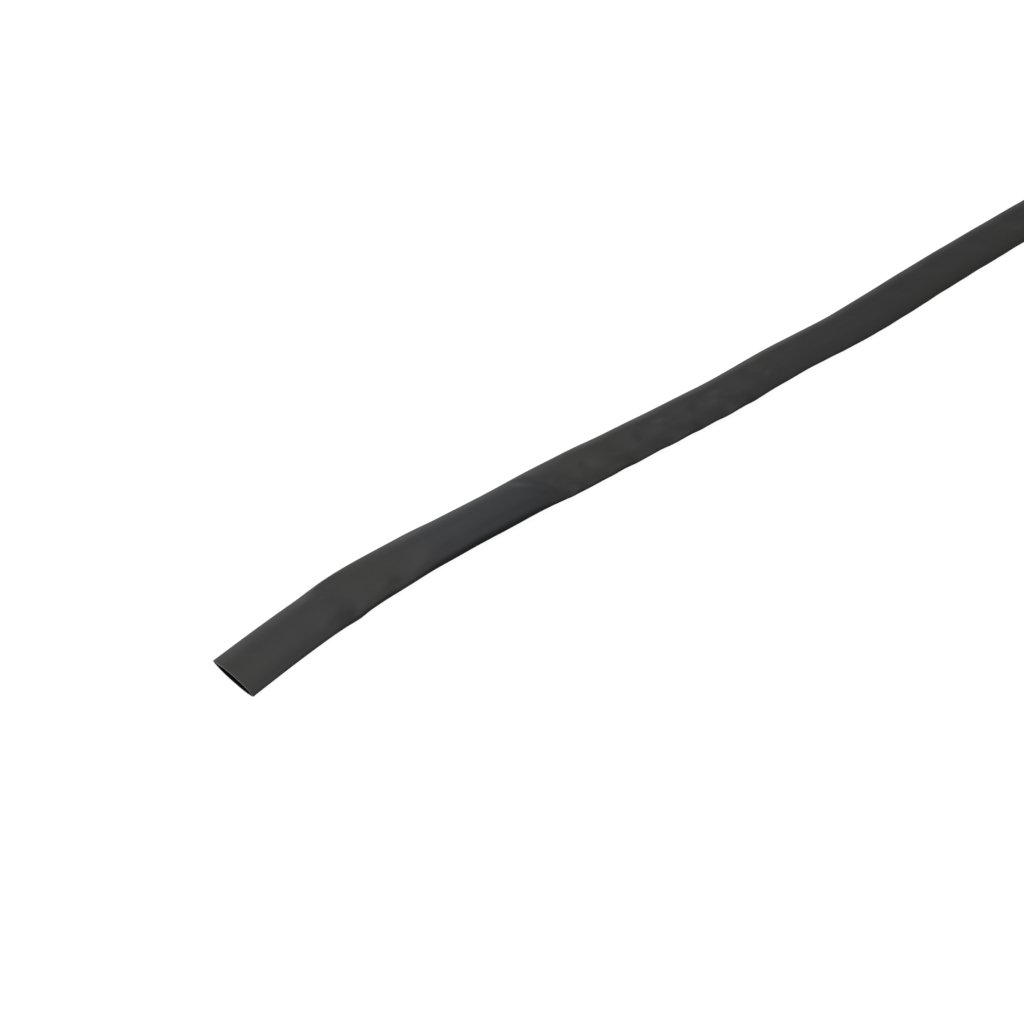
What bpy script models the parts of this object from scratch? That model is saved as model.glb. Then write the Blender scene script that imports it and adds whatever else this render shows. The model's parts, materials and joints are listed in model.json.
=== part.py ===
"""Heat shrink tube: one length of black polyolefin sleeve, supplied expanded and stored flattened.

The sleeve lies on a level floor along X. Its wall does not stretch, so every section has the same
way round: where the sleeve is pressed flatter it is wider, and where it is opened it is narrower.
"""
import math

import bmesh
import bpy
from mathutils import Vector

# Driving dimensions, in metres
LENGTH = 1.0                # one stick of sleeve, along its middle line
BORE_DIAMETER = 0.0191      # inside diameter as supplied, when opened to a circle
WALL = 0.0006               # wall thickness as supplied
RESTING_WIDTH = 0.008       # flat strip of the underside that lies on the floor
RING_PITCH = 0.008          # distance between neighbouring sections of the mesh
SLOPE_STEPS = 5             # faces from each fold up to the top
FLANK_STEPS = 4             # faces from each fold down to the resting strip

# How far open the sleeve is: distance from the cut end, height of the section
OPENING = (
    (0.000, 0.0068),
    (0.055, 0.0064),
    (0.098, 0.0065),
    (0.126, 0.0105),
    (0.150, 0.0121),
    (0.180, 0.0117),
    (0.213, 0.0086),
)

# How sharply each edge is folded: distance, 0.5 for a round edge and 1.0 for a crease
FAR_CREASE = (
    (0.000, 0.85),
    (0.030, 0.70),
    (0.110, 0.60),
)
NEAR_CREASE = (
    (0.000, 0.70),
    (0.030, 0.60),
    (0.110, 0.55),
)

# How the sleeve curves across the floor: distance, heading in degrees off the X axis
HEADING = (
    (0.000, 9.6),
    (0.020, 9.2),
    (0.040, 7.7),
    (0.055, 6.3),
    (0.070, 5.7),
    (0.080, 4.3),
    (0.090, 2.2),
    (0.100, -0.9),
    (0.110, -3.3),
    (0.120, -3.7),
    (0.140, -3.0),
    (0.160, -2.0),
    (0.180, -0.3),
    (0.190, 0.6),
    (0.200, 0.1),
    (0.210, -2.1),
    (0.222, -3.6),
    (0.247, -3.0),
    (0.262, -3.4),
    (0.280, -2.7),
    (0.295, -3.6),
    (0.312, -2.3),
    (0.332, -1.9),
    (0.355, 1.9),
    (0.372, -0.4),
    (0.392, -1.8),
    (0.412, -3.9),
    (0.440, 0.5),
    (0.480, 2.4),
    (0.560, 1.0),
    (0.700, 0.0),
)

# Dents where the sleeve has been bent: distance, height lost, reach to either side
DENTS = (
    (0.215, 0.0013, 0.024),
    (0.252, 0.0011, 0.018),
    (0.290, 0.0014, 0.019),
    (0.331, 0.0012, 0.019),
    (0.367, 0.0009, 0.016),
)

# The rest of the sleeve has the same shallow dents at an even pitch
FIRST_PLAIN_DENT = 0.404
PLAIN_DENT_PITCH = 0.039
PLAIN_DENT_LOSS = 0.0010
PLAIN_DENT_REACH = 0.018
PLAIN_END = 0.030           # stretch before the far end that has no dent

# How far the sleeve is twisted: distance, rise of its far fold, which is the fall of its near fold
TWIST = (
    (0.055, 0.0),
    (0.071, 0.0016),
    (0.100, 0.0002),
    (0.230, -0.0002),
    (0.265, -0.0010),
    (0.400, -0.0012),
    (0.480, 0.0),
)

# The dents lean: their near ends lie further along, by this share of the distance across
LEAN = (
    (0.190, 0.0),
    (0.250, 0.3),
)
LEAN_END = 0.060            # stretch before the far end over which the lean dies out

FOLD_LEVEL = 0.45           # height of the two folds, as a share of the section's height
STEP = 0.0025               # stride along the middle line when the heading is added up
HALVINGS = 40               # times that the range of a section's half width is halved
BLACK = (0.035, 0.035, 0.036, 1.0)
ROUGHNESS = 0.5


def remove_old_objects():
    for old in list(bpy.data.objects):
        bpy.data.objects.remove(old, do_unlink=True)


def eased(table, distance):
    """Value of a table at a distance, running smoothly from one line to the next."""
    if distance <= table[0][0]:
        return table[0][1]
    for (start, before), (end, after) in zip(table, table[1:]):
        if distance <= end:
            share = (distance - start) / (end - start)
            return before + (after - before) * share * share * (3.0 - 2.0 * share)
    return table[-1][1]


def bump(distance, centre, size, reach):
    """A smooth hump of a given size that has died out at its reach."""
    offset = abs(distance - centre)
    if offset >= reach:
        return 0.0
    return size * 0.5 * (1.0 + math.cos(math.pi * offset / reach))


def all_dents():
    dents = [dent for dent in DENTS if dent[0] + dent[2] < LENGTH]
    centre = FIRST_PLAIN_DENT
    while centre + PLAIN_DENT_REACH < LENGTH - PLAIN_END:
        dents.append((centre, PLAIN_DENT_LOSS, PLAIN_DENT_REACH))
        centre += PLAIN_DENT_PITCH
    return dents


def section_points(half_width, section):
    """Outer outline of one section as (across, up), from the far fold over the top and round."""
    height, far, near = section
    rest = 0.5 * RESTING_WIDTH
    slope = [math.pi * 0.5 * step / SLOPE_STEPS for step in range(SLOPE_STEPS + 1)]
    flank = [math.pi * 0.5 * step / FLANK_STEPS for step in range(1, FLANK_STEPS + 1)]

    def above(side, fold, turn):
        level, crease = fold
        return side * half_width * math.cos(turn), level + (height - level) * math.sin(turn) ** (2.0 * crease)

    def below(side, fold, turn):
        level, crease = fold
        across = side * (rest + (half_width - rest) * math.cos(turn))
        return across, level * (1.0 - math.sin(turn) ** (2.0 * crease))

    return (
        [above(1.0, far, turn) for turn in slope]
        + [above(-1.0, near, turn) for turn in reversed(slope[:-1])]
        + [below(-1.0, near, turn) for turn in flank]
        + [below(1.0, far, turn) for turn in reversed(flank)]
    )


def way_round(points):
    """Length of a closed outline."""
    shifted = points[1:] + points[:1]
    return sum(math.dist(one, two) for one, two in zip(points, shifted))


def fitted_section(section):
    """The outline of a section, as wide as its way round allows: that of the opened circle."""
    girth = math.pi * (BORE_DIAMETER + 2.0 * WALL)
    low = 0.5 * RESTING_WIDTH
    high = 0.5 * girth
    for _ in range(HALVINGS):
        middle = 0.5 * (low + high)
        if way_round(section_points(middle, section)) < girth:
            low = middle
        else:
            high = middle
    return section_points(0.5 * (low + high), section)


def section_at(distance, dents):
    """A section's height, and the level and crease of its two folds."""
    height = eased(OPENING, distance) - sum(bump(distance, *dent) for dent in dents)
    level = FOLD_LEVEL * height
    rise = eased(TWIST, distance)
    far = (level + rise, eased(FAR_CREASE, distance))
    near = (level - rise, eased(NEAR_CREASE, distance))
    return height, far, near


def middle_line():
    """Stations along the sleeve: distance, place and heading, from the cut end to the far end."""
    rings = max(2, round(LENGTH / RING_PITCH))
    strides = max(1, round(LENGTH / rings / STEP))
    stride = LENGTH / rings / strides
    place = Vector((0.0, 0.0, 0.0))
    stations = []
    for ring in range(rings + 1):
        distance = ring * LENGTH / rings
        heading = math.radians(eased(HEADING, distance))
        stations.append((distance, place.copy(), heading))
        for number in range(strides):
            ahead = math.radians(eased(HEADING, distance + (number + 0.5) * stride))
            place += stride * Vector((math.cos(ahead), math.sin(ahead), 0.0))
    return stations


def ring_places():
    """Every section of the sleeve, as lists of places in space."""
    dents = all_dents()
    rings = []
    for distance, place, heading in middle_line():
        lean = eased(LEAN, distance) * min(1.0, (LENGTH - distance) / LEAN_END)
        along = Vector((math.cos(heading), math.sin(heading), 0.0))
        left = Vector((-math.sin(heading), math.cos(heading), 0.0))
        outline = fitted_section(section_at(distance, dents))
        rings.append(
            [place + across * (left - lean * along) + Vector((0.0, 0.0, up)) for across, up in outline]
        )
    return rings


def centred(rings):
    """The same rings with the middle of their box over the origin."""
    places = [place for ring in rings for place in ring]
    middle_x = 0.5 * (min(p.x for p in places) + max(p.x for p in places))
    middle_y = 0.5 * (min(p.y for p in places) + max(p.y for p in places))
    shift = Vector((-middle_x, -middle_y, 0.0))
    return [[place + shift for place in ring] for ring in rings]


def black_polyolefin():
    material = bpy.data.materials.new("black_polyolefin")
    material.use_nodes = True
    shader = material.node_tree.nodes["Principled BSDF"]
    shader.inputs["Base Color"].default_value = BLACK
    shader.inputs["Roughness"].default_value = ROUGHNESS
    shader.inputs["Metallic"].default_value = 0.0
    return material


def heat_shrink_tube():
    """The sleeve's outer skin, lofted through its sections and thickened inwards to its wall."""
    shape = bmesh.new()
    loops = []
    for ring in centred(ring_places()):
        corners = [shape.verts.new(place) for place in ring]
        loops.append(corners)
    for loop, after in zip(loops, loops[1:]):
        for index, corner in enumerate(loop):
            turn = (index + 1) % len(loop)
            shape.faces.new((corner, after[index], after[turn], loop[turn]))
    bmesh.ops.recalc_face_normals(shape, faces=shape.faces)
    mesh = bpy.data.meshes.new("heat_shrink_tube")
    shape.to_mesh(mesh)
    shape.free()
    mesh.materials.append(black_polyolefin())
    mesh.shade_smooth()
    tube = bpy.data.objects.new("heat_shrink_tube", mesh)
    bpy.context.collection.objects.link(tube)
    wall = tube.modifiers.new("wall", "SOLIDIFY")
    wall.thickness = WALL
    wall.offset = -1.0
    wall.use_even_offset = True
    wall.use_rim = True
    return tube


remove_old_objects()
heat_shrink_tube()
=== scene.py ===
import json
import math

import bmesh
import bpy
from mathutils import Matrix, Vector

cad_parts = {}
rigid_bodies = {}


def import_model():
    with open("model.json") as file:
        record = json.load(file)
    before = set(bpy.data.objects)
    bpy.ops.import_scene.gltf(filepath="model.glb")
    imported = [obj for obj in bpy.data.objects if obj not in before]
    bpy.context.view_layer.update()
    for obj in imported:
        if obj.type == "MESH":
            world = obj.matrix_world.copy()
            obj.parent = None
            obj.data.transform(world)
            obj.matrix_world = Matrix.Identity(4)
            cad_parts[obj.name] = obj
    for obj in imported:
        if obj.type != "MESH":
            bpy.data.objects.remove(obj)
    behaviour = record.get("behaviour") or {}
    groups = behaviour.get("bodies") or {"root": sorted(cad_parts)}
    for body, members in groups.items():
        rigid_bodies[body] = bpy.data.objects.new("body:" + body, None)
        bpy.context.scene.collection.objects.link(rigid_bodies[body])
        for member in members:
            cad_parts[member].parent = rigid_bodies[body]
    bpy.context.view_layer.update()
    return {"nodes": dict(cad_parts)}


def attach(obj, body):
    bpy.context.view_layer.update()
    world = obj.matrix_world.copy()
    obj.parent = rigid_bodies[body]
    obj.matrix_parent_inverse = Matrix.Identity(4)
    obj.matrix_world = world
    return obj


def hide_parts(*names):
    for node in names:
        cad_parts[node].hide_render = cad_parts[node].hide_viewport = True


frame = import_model()

NODE = "heat_shrink_tube"

# The photograph's camera: where it stands and looks, in metres, and its lens in millimetres
CAMERA_PLACE = (-0.62330, -0.39006, 0.53903)
CAMERA_AIM = (-0.32148, 0.00092, 0.0)
LENS = 47.1

# Sizes of the sleeve, in metres
LENGTH = 1.0
WALL = 0.0006
GIRTH = 0.0638              # way round the sleeve
HALF_FLAT = 0.01425         # beyond this way from the middle, the straight sleeve is fold
FOLD_RADIUS = 0.0003
FOLD_REACH = 0.005          # how far the folds take the skin along when they are drawn out
FAR_FOLD_OUT = 0.0006
NEAR_FOLD_OUT = 0.0004

# Share of the folds' group from which a corner lies on a fold
ON_FOLD = 0.999

# Where the straight sleeve is lowered, opened and turned before it is fitted, as distances in metres
LOWERED = (0.0, 0.095)
OPENED = (0.140, 0.175)
TURNED = ((0.073, 0.080, -6.0, 0.020), (0.270, 0.420, 4.2, 0.040))    # from, to, degrees, reach

# How the sleeve curves across the floor: distance in metres, heading in degrees off the X axis
HEADING = (
    (0.000, 9.6), (0.020, 9.2), (0.040, 7.7), (0.055, 6.3), (0.070, 5.7), (0.080, 4.3),
    (0.090, 2.2), (0.100, -0.9), (0.110, -3.3), (0.120, -3.7), (0.140, -3.0), (0.160, -2.0),
    (0.180, -0.3), (0.190, 0.6), (0.200, 0.1), (0.210, -2.1), (0.222, -3.6), (0.247, -3.0),
    (0.262, -3.4), (0.280, -2.7), (0.295, -3.6), (0.312, -2.3), (0.332, -1.9), (0.355, 1.9),
    (0.372, -0.4), (0.392, -1.8), (0.412, -3.9), (0.440, 0.5), (0.480, 2.4), (0.560, 1.0),
    (0.700, 0.0),
)

# Where its middle line starts and ends, and the stride in which the heading is added up, in metres
CUT_END = (-0.49817, -0.00546, 0.0)
PAST_FAR_END = 0.5017
STRIDE = 0.008 / 3

# Strides after which the line has a point: closer together where the sleeve is wavy
STOPS = (*range(0, 180, 9), *range(180, 360, 24))

# Creases and bulges of the upper side: places as (distance, across), rise and reach, in millimetres
RELIEF = (
    (((54.0, 5.0), (57.0, -5.0)), 0.8, 10.0),
    (((69.0, 6.0), (72.0, -3.0)), -0.8, 9.0),
    (((60.0, 13.0), (66.0, 12.0)), 0.25, 9.0),
    (((69.0, -13.0), (84.0, -7.0)), -0.35, 6.0),
    (((77.0, -13.0), (94.0, -6.0)), 0.9, 7.0),
    (((121.0, 5.0), (123.0, -1.0)), 0.7, 16.0),
    (((188.0, 5.8), (200.0, -2.4), (209.5, -11.0)), -0.75, 5.0),
    (((207.0, -2.4), (215.0, -10.0)), 0.45, 5.0),
    (((228.0, -3.0), (238.0, -11.0)), -0.5, 6.0),
    (((237.0, -3.0), (248.0, -11.0)), 0.8, 7.0),
    (((268.0, -2.0), (281.0, -12.0)), -0.8, 7.0),
    (((283.0, -2.0), (295.0, -11.0)), 1.15, 8.0),
    (((309.0, -2.0), (321.0, -12.0)), -0.8, 7.0),
    (((325.0, -2.0), (335.0, -11.0)), 1.15, 8.0),
    (((354.0, 2.0), (357.0, -3.0)), -0.3, 7.0),
    (((364.0, 2.0), (367.0, -3.0)), 0.5, 8.0),
)

# The top is flatter than the plain form: lines from one distance to another, way over, rise, in mm
SHOULDERS = (
    (0.0, 1000.0, -8.5, 0.35),
    (225.0, 1000.0, 8.0, 0.45),
    (230.0, 1000.0, 0.5, -0.35),
)

SHOULDER_REACH = 7.0

# The stretch of sleeve that the photograph does not show has plain creases, in mm
PLAIN_CREASE = ((-7.0, -1.0), (5.0, -12.0))
FIRST_PLAIN_CREASE = 404.0
PLAIN_CREASE_PITCH = 39.0
PLAIN_CREASE_RISE = 0.45
PLAIN_CREASE_REACH = 9.0

# Half the width of a crease's line, in mm
LINE_REACH = 1.1

# Lines of the extruder along the sleeve: how much finer the noise is round the sleeve than along it
DIE_LINES = (260.0, 5.0, 1.0)

# Middle of the stretch with a painted bluish reflection, as a share of the length
BLUE_REFLECTION_MIDDLE = 0.158

# The lights stand round this spot: name, turn and rise in degrees, power in watts
LIT_SPOT = (-0.3, 0.0, 0.0)
LIGHT_DISTANCE = 1.6
LIGHT_SIZE = 0.9
LIGHTS = (
    ("top_softbox", 180.0, 80.0, 4.3),
    ("back_right_softbox", 60.0, 55.0, 2.2),
    ("back_left_softbox", 120.0, 55.0, 2.7),
    ("front_softbox", 290.0, 55.0, 3.0),
    ("right_softbox", 0.0, 55.0, 0.8),
    ("back_strip", 90.0, 8.0, 2.3),
    ("back_right_strip", 60.0, 8.0, 0.7),
)


def deselect_all():
    if bpy.context.object and bpy.context.object.mode != "OBJECT":
        bpy.ops.object.mode_set(mode="OBJECT")
    bpy.ops.object.select_all(action="DESELECT")


def pick(piece):
    deselect_all()
    piece.select_set(True)
    bpy.context.view_layer.objects.active = piece


def edit(piece, kind="VERT"):
    """Opens a piece in edit mode with nothing selected."""
    pick(piece)
    bpy.ops.object.mode_set(mode="EDIT")
    bpy.ops.mesh.select_mode(type=kind)
    bpy.ops.mesh.select_all(action="DESELECT")


def done():
    bpy.ops.object.mode_set(mode="OBJECT")


def choose(piece, verts=None, edges=None, faces=None):
    """Selects what a test says yes to, in edit mode."""
    shape = bmesh.from_edit_mesh(piece.data)
    for items, test in ((shape.verts, verts), (shape.edges, edges), (shape.faces, faces)):
        if test is None:
            continue
        for item in items:
            if test(item):
                item.select_set(True)
    shape.select_flush_mode()
    bmesh.update_edit_mesh(piece.data)


def apply(piece, name):
    pick(piece)
    bpy.ops.object.modifier_apply(modifier=name)


# Camera

def camera():
    bpy.ops.object.camera_add(location=CAMERA_PLACE)
    eye = bpy.context.object
    eye.name = "camera"
    eye.rotation_euler = (Vector(CAMERA_AIM) - eye.location).to_track_quat("-Z", "Y").to_euler()
    eye.data.lens = LENS
    eye.data.sensor_width = 36.0
    eye.data.clip_start = 0.01
    eye.data.clip_end = 50.0
    bpy.context.scene.camera = eye


# The sleeve

def is_fold(edge):
    return len(edge.link_faces) == 2 and edge.link_faces[0].normal.z * edge.link_faces[1].normal.z < 0


def smooth_form():
    """A copy of the CAD sleeve's outer skin, smoothed, that the finished sleeve is fitted to."""
    pick(frame["nodes"][NODE])
    bpy.ops.object.duplicate()
    form = bpy.context.object
    form.name = "sleeve_form"
    form.parent = None
    edit(form)
    bpy.ops.mesh.select_all(action="SELECT")
    bpy.ops.mesh.remove_doubles(threshold=0.000002)
    bpy.ops.mesh.select_all(action="DESELECT")
    choose(form, faces=lambda face: abs(face.normal.x) > 0.9)
    bpy.ops.mesh.delete(type="FACE")
    choose(form, verts=lambda vert: vert.co.z < 0.00001)
    bpy.ops.mesh.select_linked()
    bpy.ops.mesh.select_all(action="INVERT")
    bpy.ops.mesh.delete(type="VERT")
    bpy.ops.mesh.select_all(action="SELECT")
    bpy.ops.mesh.tris_convert_to_quads(
        face_threshold=math.pi, shape_threshold=math.pi, topology_influence=1.0,
    )
    bpy.ops.mesh.select_mode(type="EDGE")
    bpy.ops.mesh.select_all(action="DESELECT")
    choose(form, edges=is_fold)
    bpy.ops.transform.edge_crease(value=1.0)
    bpy.ops.object.vertex_group_assign_new()
    done()
    finer = form.modifiers.new("finer", "SUBSURF")
    finer.levels = finer.render_levels = 2
    apply(form, "finer")
    return form


def fold_lines(form):
    """The two folds of the smooth form, as ribbons a hair wide."""
    pick(form)
    bpy.ops.object.duplicate()
    lines = bpy.context.object
    lines.name = "sleeve_folds"
    edit(lines)
    share = bmesh.from_edit_mesh(lines.data).verts.layers.deform.active
    choose(lines, verts=lambda vert: vert[share].get(0, 0.0) < ON_FOLD)
    bpy.ops.mesh.delete(type="VERT")
    bpy.ops.mesh.select_all(action="SELECT")
    bpy.ops.mesh.extrude_edges_move(TRANSFORM_OT_translate={"value": (0.0, 0.0, 0.00001)})
    done()
    return lines


def heading_at(distance):
    """The heading, running smoothly from one line of its table to the next."""
    for (start, before), (end, after) in zip(HEADING, HEADING[1:]):
        if distance <= end:
            share = (distance - start) / (end - start)
            return math.radians(before + (after - before) * share * share * (3.0 - 2.0 * share))
    return math.radians(HEADING[-1][1])


def middle_points():
    """Places on the sleeve's middle line, with the last one just past its far end."""
    place = Vector(CUT_END)
    places = []
    for number in range(STOPS[-1] + 1):
        if number in STOPS:
            places.append(place.copy())
        heading = heading_at((number + 0.5) * STRIDE)
        place += STRIDE * Vector((math.cos(heading), math.sin(heading), 0.0))
    return places + [Vector((PAST_FAR_END, place.y, 0.0))]


def middle_curve():
    bpy.ops.curve.primitive_bezier_curve_add()
    line = bpy.context.object
    line.name = "sleeve_middle"
    spline = line.data.splines[0]
    places = middle_points()
    spline.bezier_points.add(len(places) - 2)
    for point, place in zip(spline.bezier_points, places):
        point.co = place
        point.handle_left_type = point.handle_right_type = "AUTO"
    spline.resolution_u = 12
    return line


def choose_rings(tube, start, end):
    bpy.ops.mesh.select_all(action="DESELECT")
    choose(tube, verts=lambda vert: start <= vert.co.x <= end)


def shape_rings(tube):
    """Opens, lowers and turns the straight sleeve's rings, so that they lie inside the real form."""
    bpy.ops.mesh.select_mode(type="VERT")
    soft = {"use_proportional_edit": True, "proportional_edit_falloff": "SMOOTH"}
    choose_rings(tube, *LOWERED)
    bpy.ops.transform.translate(value=(0.0, 0.0, -0.0006), proportional_size=0.025, **soft)
    choose_rings(tube, *OPENED)
    bpy.ops.transform.translate(value=(0.0, 0.0, 0.0018), proportional_size=0.045, **soft)
    choose_rings(tube, *OPENED)
    bpy.ops.transform.resize(value=(1.0, 0.89, 1.5), proportional_size=0.045, **soft)
    for start, end, turn, reach in TURNED:
        choose_rings(tube, start, end)
        bpy.ops.transform.rotate(
            value=math.radians(turn), orient_axis="X", proportional_size=reach,
            center_override=(0.5 * (start + end), 0.0, 0.0033), **soft,
        )


def round_folds(tube):
    """Rounds both folds to the small radius that a folded wall has."""
    edit(tube, "EDGE")
    share = bmesh.from_edit_mesh(tube.data).verts.layers.deform.active
    choose(tube, edges=lambda edge: all(vert[share].get(0, 0.0) > ON_FOLD for vert in edge.verts))
    bpy.ops.mesh.bevel(offset=FOLD_RADIUS, segments=3, profile=0.5, clamp_overlap=True)
    done()


def on_skin(vert, layer):
    """Where a corner of the sleeve lies: distance from the cut end and way over the top, in millimetres."""
    place = vert.link_loops[0][layer].uv
    return Vector((1000 * LENGTH * place.y, 1000 * GIRTH * (0.25 - place.x)))


def press(tube, spots, rise, reach):
    """Raises or presses in the upper side along a line of spots, dying out at the reach."""
    layer = bmesh.from_edit_mesh(tube.data).loops.layers.uv.active
    line = [Vector(spot) for spot in spots]
    first = min(spot.x for spot in line) - LINE_REACH
    last = max(spot.x for spot in line) + LINE_REACH

    def on_line(vert):
        here = on_skin(vert, layer)
        if here.x < first or here.x > last:
            return False
        for start, end in zip(line, line[1:]):
            away = end - start
            share = min(1.0, max(0.0, (here - start).dot(away) / away.length_squared))
            if (start + share * away - here).length < LINE_REACH:
                return True
        return False

    bpy.ops.mesh.select_all(action="DESELECT")
    choose(tube, verts=on_line)
    bpy.ops.transform.translate(
        value=(0.0, 0.0, rise / 1000), use_proportional_edit=True, use_proportional_connected=True,
        proportional_edit_falloff="SMOOTH", proportional_size=reach / 1000,
    )


def crease_top(tube):
    edit(tube)
    for start, end, over, rise in SHOULDERS:
        press(tube, ((start, over), (end, over)), rise, SHOULDER_REACH)
    for spots, rise, reach in RELIEF:
        press(tube, spots, rise, reach)
    distance = FIRST_PLAIN_CREASE
    while distance < 1000 * LENGTH - PLAIN_CREASE_PITCH:
        spots = [(distance + along, across) for along, across in PLAIN_CREASE]
        press(tube, spots, PLAIN_CREASE_RISE, PLAIN_CREASE_REACH)
        distance += PLAIN_CREASE_PITCH
    done()


def widen_folds(tube):
    """Draws both folds out by a hair, as far as the photograph shows them."""
    edit(tube)
    share = bmesh.from_edit_mesh(tube.data).verts.layers.deform.active
    for side, out in ((1.0, FAR_FOLD_OUT), (-1.0, NEAR_FOLD_OUT)):
        bpy.ops.mesh.select_all(action="DESELECT")
        choose(tube, verts=lambda vert: vert[share].get(0, 0.0) > ON_FOLD and side * vert.normal.y > 0.0)
        bpy.ops.transform.translate(
            value=(0.0, side * out, 0.0), use_proportional_edit=True, use_proportional_connected=True,
            proportional_edit_falloff="SMOOTH", proportional_size=FOLD_REACH,
        )
    done()


def sleeve():
    deselect_all()
    bpy.ops.mesh.primitive_cylinder_add(
        vertices=44, radius=0.01, depth=LENGTH, end_fill_type="NOTHING",
        location=(LENGTH / 2, 0.0, 0.0036), rotation=(0.0, math.pi / 2, 0.0),
    )
    tube = bpy.context.object
    tube.name = "heat_shrink_sleeve"
    bpy.ops.object.transform_apply(location=True, rotation=True, scale=True)
    edit(tube, "EDGE")
    choose(tube, edges=lambda edge: edge.calc_length() > LENGTH / 2)
    bpy.ops.mesh.subdivide(number_cuts=24)
    bpy.ops.mesh.select_all(action="DESELECT")
    choose(tube, edges=lambda edge: edge.calc_length() > 0.02)
    bpy.ops.mesh.subdivide(number_cuts=9)
    bpy.ops.mesh.select_all(action="SELECT")
    bpy.ops.transform.resize(value=(1.0, 1.43, 0.42))
    bpy.ops.mesh.select_all(action="DESELECT")
    choose(tube, edges=lambda edge: all(abs(vert.co.y) > HALF_FLAT for vert in edge.verts))
    bpy.ops.transform.edge_crease(value=0.8)
    bpy.ops.object.vertex_group_assign_new()
    shape_rings(tube)
    done()
    tube.vertex_groups[0].name = "folds"
    line = middle_curve()
    bend = tube.modifiers.new("bend", "CURVE")
    bend.object = line
    bend.deform_axis = "POS_X"
    apply(tube, "bend")
    form = smooth_form()
    lines = fold_lines(form)
    for name, target, others in (("fold", lines, False), ("fit", form, True)):
        fit = tube.modifiers.new(name, "SHRINKWRAP")
        fit.target = target
        fit.wrap_method = "NEAREST_SURFACEPOINT"
        fit.vertex_group = "folds"
        fit.invert_vertex_group = others
        apply(tube, name)
    widen_folds(tube)
    finer = tube.modifiers.new("finer", "SUBSURF")
    finer.levels = finer.render_levels = 1
    apply(tube, "finer")
    crease_top(tube)
    round_folds(tube)
    for finish in (black_polyolefin(), bore_painted_shade(), cut_edge_with_painted_highlight()):
        tube.data.materials.append(finish)
    wall = tube.modifiers.new("wall", "SOLIDIFY")
    wall.thickness = WALL
    wall.offset = -1.0
    wall.thickness_clamp = 1.2
    wall.material_offset = 1
    wall.material_offset_rim = 2
    apply(tube, "wall")
    for helper in (line, form, lines):
        bpy.data.objects.remove(helper, do_unlink=True)
    pick(tube)
    bpy.ops.object.shade_smooth_by_angle(angle=math.radians(55.0))
    return tube


# Materials

def node(tree, kind, inputs=None, **settings):
    made = tree.nodes.new("ShaderNode" + kind)
    for name, value in settings.items():
        setattr(made, name, value)
    for name, value in (inputs or {}).items():
        made.inputs[name].default_value = value
    return made


def sums(tree, operation, first, second=None):
    """A math node on one or two values, each a socket or a number."""
    made = node(tree, "Math", operation=operation)
    for socket, value in zip(made.inputs, (first, second)):
        if value is None:
            continue
        if isinstance(value, (int, float)):
            socket.default_value = value
        else:
            tree.links.new(value, socket)
    return made.outputs["Value"]


def spread(tree, value, low, high, to_low, to_high):
    """Carries a range of a value over to another range."""
    made = node(tree, "MapRange", {"From Min": low, "From Max": high, "To Min": to_low, "To Max": to_high})
    tree.links.new(value, made.inputs["Value"])
    return made.outputs["Result"]


def noise(tree, place, scale, detail=2.0, stretch=(1.0, 1.0, 1.0), turn=0.0):
    mapping = node(tree, "Mapping", {"Scale": stretch, "Rotation": (0.0, 0.0, turn)})
    cloud = node(tree, "TexNoise", {"Scale": scale, "Detail": detail, "Roughness": 0.6})
    tree.links.new(place, mapping.inputs["Vector"])
    tree.links.new(mapping.outputs["Vector"], cloud.inputs["Vector"])
    return cloud.outputs["Fac"]


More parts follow.
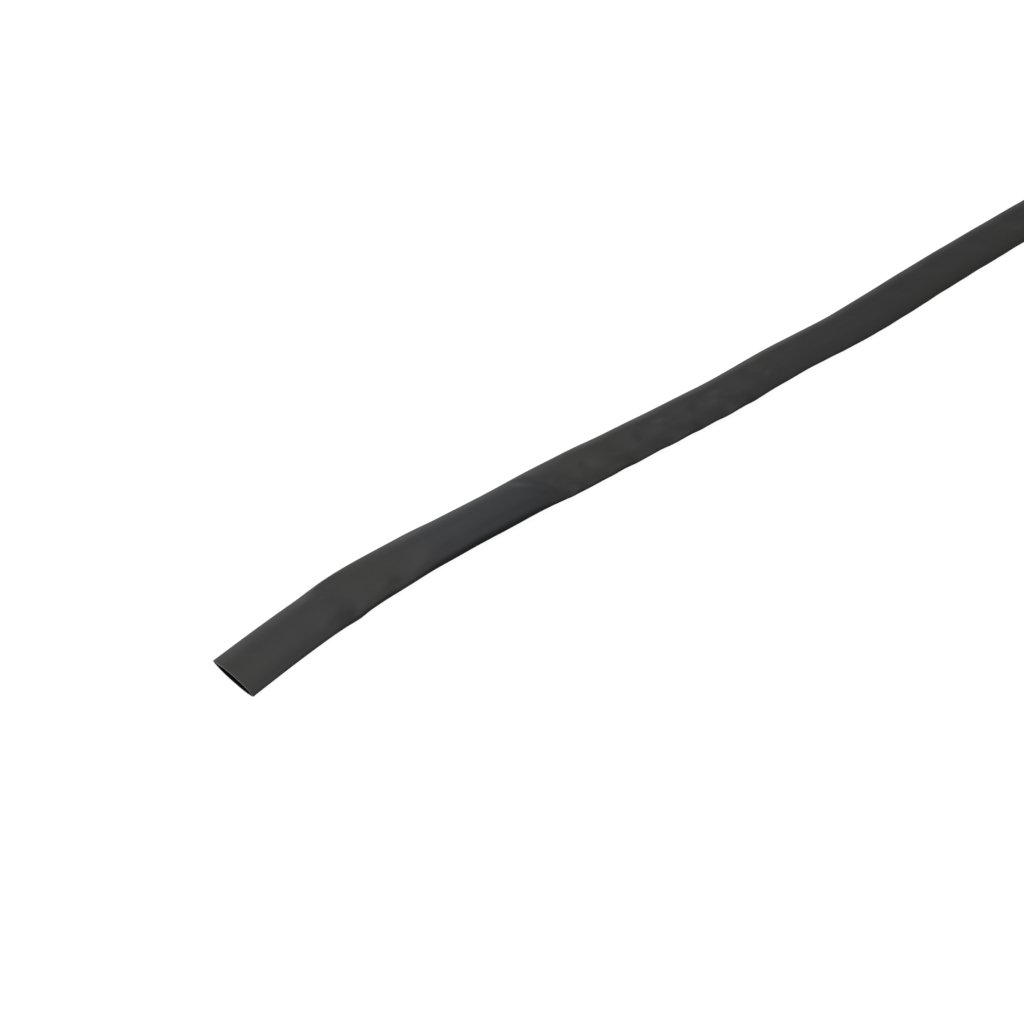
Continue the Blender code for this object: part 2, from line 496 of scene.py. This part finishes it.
def black_polyolefin():
    """Matt black sleeve: lines of the extruder along it, mottled sheen, paler folds, faint scuffs and a
    painted bluish reflection on the opened, rounder stretch.
    """
    material = bpy.data.materials.new("black_polyolefin")
    material.use_nodes = True
    tree = material.node_tree
    shader = tree.nodes["Principled BSDF"]
    place = node(tree, "TexCoord")
    parts = node(tree, "SeparateXYZ")
    tree.links.new(place.outputs["UV"], parts.inputs["Vector"])

    die_lines = noise(tree, place.outputs["UV"], 1.0, 3.0, DIE_LINES)
    mottling = noise(tree, place.outputs["Object"], 45.0, 4.0)
    grain = noise(tree, place.outputs["Object"], 2600.0, 2.0)
    scuffs = noise(tree, place.outputs["UV"], 1.0, 2.0, (55.0, 90.0, 1.0), 0.5)
    scuffs = spread(tree, scuffs, 0.70, 0.76, 0.0, 1.0)

    over = sums(tree, "FRACT", sums(tree, "MULTIPLY", parts.outputs["X"], 2.0))
    fold = spread(tree, sums(tree, "ABSOLUTE", sums(tree, "SUBTRACT", over, 0.5)), 0.470, 0.499, 0.0, 1.0)
    along = sums(tree, "ABSOLUTE", sums(tree, "SUBTRACT", parts.outputs["Y"], 0.5))
    lip = spread(tree, along, 0.4985, 0.5, 0.0, 1.0)
    patches = spread(tree, mottling, 0.3, 0.7, 0.2, 1.0)
    worn = sums(tree, "MULTIPLY", sums(tree, "MAXIMUM", fold, lip), patches)
    worn = sums(tree, "MAXIMUM", worn, sums(tree, "MULTIPLY", scuffs, 0.6))

    cast = noise(tree, place.outputs["Object"], 9.0, 2.0)
    tone = node(tree, "ValToRGB")
    tone.color_ramp.elements[0].position = 0.38
    tone.color_ramp.elements[0].color = (0.0123, 0.0124, 0.0126, 1.0)
    tone.color_ramp.elements[1].position = 0.62
    tone.color_ramp.elements[1].color = (0.0142, 0.0136, 0.0122, 1.0)
    paler = node(tree, "MixRGB", {"Color2": (0.024, 0.024, 0.024, 1.0)})
    # A painted bluish reflection, strongest round the middle of the opened, rounder stretch, is mixed into
    # the colour
    opened = sums(tree, "ABSOLUTE", sums(tree, "SUBTRACT", parts.outputs["Y"], BLUE_REFLECTION_MIDDLE))
    painted_blue_reflection = node(tree, "MixRGB", {"Color2": (0.0108, 0.0120, 0.0170, 1.0)})
    tree.links.new(cast, tone.inputs["Fac"])
    tree.links.new(worn, paler.inputs["Fac"])
    tree.links.new(spread(tree, opened, 0.015, 0.06, 1.0, 0.0), painted_blue_reflection.inputs["Fac"])
    tree.links.new(tone.outputs["Color"], painted_blue_reflection.inputs["Color1"])
    tree.links.new(painted_blue_reflection.outputs["Color"], paler.inputs["Color1"])
    tree.links.new(paler.outputs["Color"], shader.inputs["Base Color"])

    sheen = spread(tree, mottling, 0.3, 0.7, 0.41, 0.48)
    sheen = sums(tree, "ADD", sheen, spread(tree, die_lines, 0.3, 0.7, -0.025, 0.025))
    sheen = sums(tree, "ADD", sheen, sums(tree, "MULTIPLY", worn, 0.05))
    tree.links.new(sheen, shader.inputs["Roughness"])

    height = sums(tree, "ADD", sums(tree, "MULTIPLY", die_lines, 0.6), sums(tree, "MULTIPLY", grain, 0.4))
    bump = node(tree, "Bump", {"Strength": 0.35, "Distance": 0.00004})
    tree.links.new(height, bump.inputs["Height"])
    tree.links.new(bump.outputs["Normal"], shader.inputs["Normal"])
    return material


def bore_painted_shade():
    """Inner wall: darker than the outside as painted shade inside the bore, duller, with the same lines
    along it.
    """
    material = bpy.data.materials.new("bore_painted_shade")
    material.use_nodes = True
    tree = material.node_tree
    shader = tree.nodes["Principled BSDF"]
    # Base colour darker than the outer skin: painted shade inside the bore
    shader.inputs["Base Color"].default_value = (0.003, 0.003, 0.003, 1.0)
    shader.inputs["Specular IOR Level"].default_value = 0.25
    place = node(tree, "TexCoord")
    die_lines = noise(tree, place.outputs["UV"], 1.0, 3.0, DIE_LINES)
    tree.links.new(spread(tree, die_lines, 0.3, 0.7, 0.54, 0.66), shader.inputs["Roughness"])
    return material


def cut_edge_with_painted_highlight():
    """The cut through the wall, with marks of the blade across it: its light grey is partly the cut's own
    paler colour and partly a painted highlight along the rim.
    """
    material = bpy.data.materials.new("cut_edge_with_painted_highlight")
    material.use_nodes = True
    tree = material.node_tree
    shader = tree.nodes["Principled BSDF"]
    shader.inputs["Roughness"].default_value = 0.55
    place = node(tree, "TexCoord")
    marks = noise(tree, place.outputs["Object"], 900.0, 3.0)
    # Light grey, partly the cut's own paler colour and partly a painted highlight along the rim
    tone = node(tree, "ValToRGB")
    tone.color_ramp.elements[0].position = 0.3
    tone.color_ramp.elements[0].color = (0.42, 0.42, 0.41, 1.0)
    tone.color_ramp.elements[1].position = 0.7
    tone.color_ramp.elements[1].color = (0.62, 0.62, 0.61, 1.0)
    tree.links.new(marks, tone.inputs["Fac"])
    tree.links.new(tone.outputs["Color"], shader.inputs["Base Color"])
    return material


def pale_floor():
    material = bpy.data.materials.new("pale_floor")
    material.use_nodes = True
    shader = material.node_tree.nodes["Principled BSDF"]
    shader.inputs["Base Color"].default_value = (0.12, 0.12, 0.12, 1.0)
    shader.inputs["Roughness"].default_value = 0.9
    shader.inputs["Emission Color"].default_value = (1.0, 1.0, 1.0, 1.0)
    shader.inputs["Emission Strength"].default_value = 0.95
    return material


# Studio

def studio():
    bpy.ops.mesh.primitive_plane_add(size=30.0, location=(0.0, 0.0, -0.0003))
    floor = bpy.context.object
    floor.name = "floor"
    floor.data.materials.append(pale_floor())
    floor.visible_diffuse = False
    floor.visible_glossy = False
    floor.visible_shadow = False
    world = bpy.data.worlds.new("studio")
    world.use_nodes = True
    tree = world.node_tree
    background = tree.nodes["Background"]
    place = node(tree, "TexCoord")

    def towards(axis, start, end, before, after):
        """Brightness that changes smoothly over the directions along an axis."""
        along = node(tree, "VectorMath", operation="DOT_PRODUCT")
        along.inputs[1].default_value = axis
        tree.links.new(place.outputs["Generated"], along.inputs[0])
        level = node(
            tree, "MapRange", {"From Min": start, "From Max": end, "To Min": before, "To Max": after},
            interpolation_type="SMOOTHSTEP",
        )
        tree.links.new(along.outputs["Value"], level.inputs["Value"])
        return level.outputs["Result"]

    low_back = towards((0.1, 0.9, -0.42), 0.3, 0.95, 0.36, 0.55)
    low_front = towards((0.0, -0.7, -0.7), 0.3, 0.85, 1.0, 0.13)
    tree.links.new(sums(tree, "MULTIPLY", low_back, low_front), background.inputs["Color"])
    bpy.context.scene.world = world
    for name, turn, rise, power in LIGHTS:
        away = Vector((math.cos(math.radians(turn)), math.sin(math.radians(turn)), 0.0))
        away = math.cos(math.radians(rise)) * away + Vector((0.0, 0.0, math.sin(math.radians(rise))))
        bpy.ops.object.light_add(type="AREA", location=Vector(LIT_SPOT) + LIGHT_DISTANCE * away)
        light = bpy.context.object
        light.name = name
        light.data.size = LIGHT_SIZE
        light.data.energy = power
        light.rotation_euler = away.to_track_quat("Z", "Y").to_euler()
    bpy.context.scene.view_settings.view_transform = "Standard"


camera()
tube = sleeve()
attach(tube, "root")
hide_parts(NODE)
studio()
